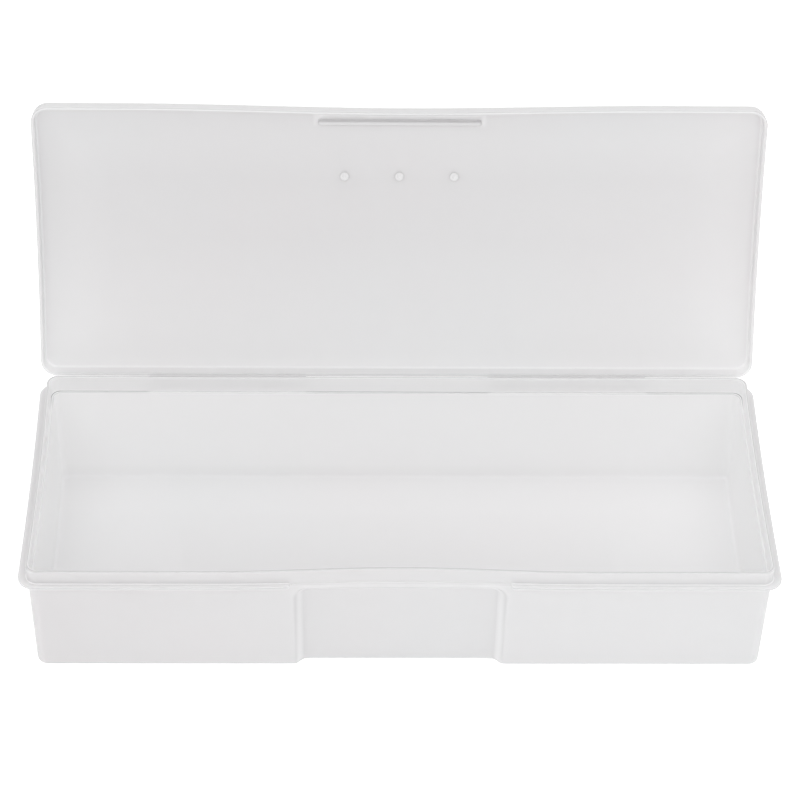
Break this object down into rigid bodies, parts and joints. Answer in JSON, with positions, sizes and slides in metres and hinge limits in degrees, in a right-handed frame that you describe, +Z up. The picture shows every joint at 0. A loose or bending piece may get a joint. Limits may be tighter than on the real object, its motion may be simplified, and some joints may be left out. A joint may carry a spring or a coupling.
{
  "type": "hinged plastic case",
  "caption": "Long shallow frosted plastic case with a full-length hinged lid, a raised sealing rim and a finger recess in its front wall, shown open.",
  "frame": {"origin": "centre of the tray's flat underside, on the surface the case stands on", "axes": "+X along the case's length, +Y from the front wall to the hinge, +Z up"},
  "size_m": [0.195, 0.1091, 0.1053],
  "materials": {
    "frosted_polypropylene": "frosted translucent"
  },
  "bodies": {
    "tray_body": {"tray": "frosted_polypropylene", "left_hinge_strap": "frosted_polypropylene", "right_hinge_strap": "frosted_polypropylene"},
    "lid_body": {"lid": "frosted_polypropylene", "catch_ridge": "frosted_polypropylene"}
  },
  "joints": [
    {"name": "lid_hinge", "type": "hinge", "parent": "tray_body", "child": "lid_body", "pos_m": [0, 0.0394, 0.0329], "axis": [1, 0, 0], "range_deg": [-69.5, 110.5], "deforming": ["left_hinge_strap", "right_hinge_strap"]}
  ]
}
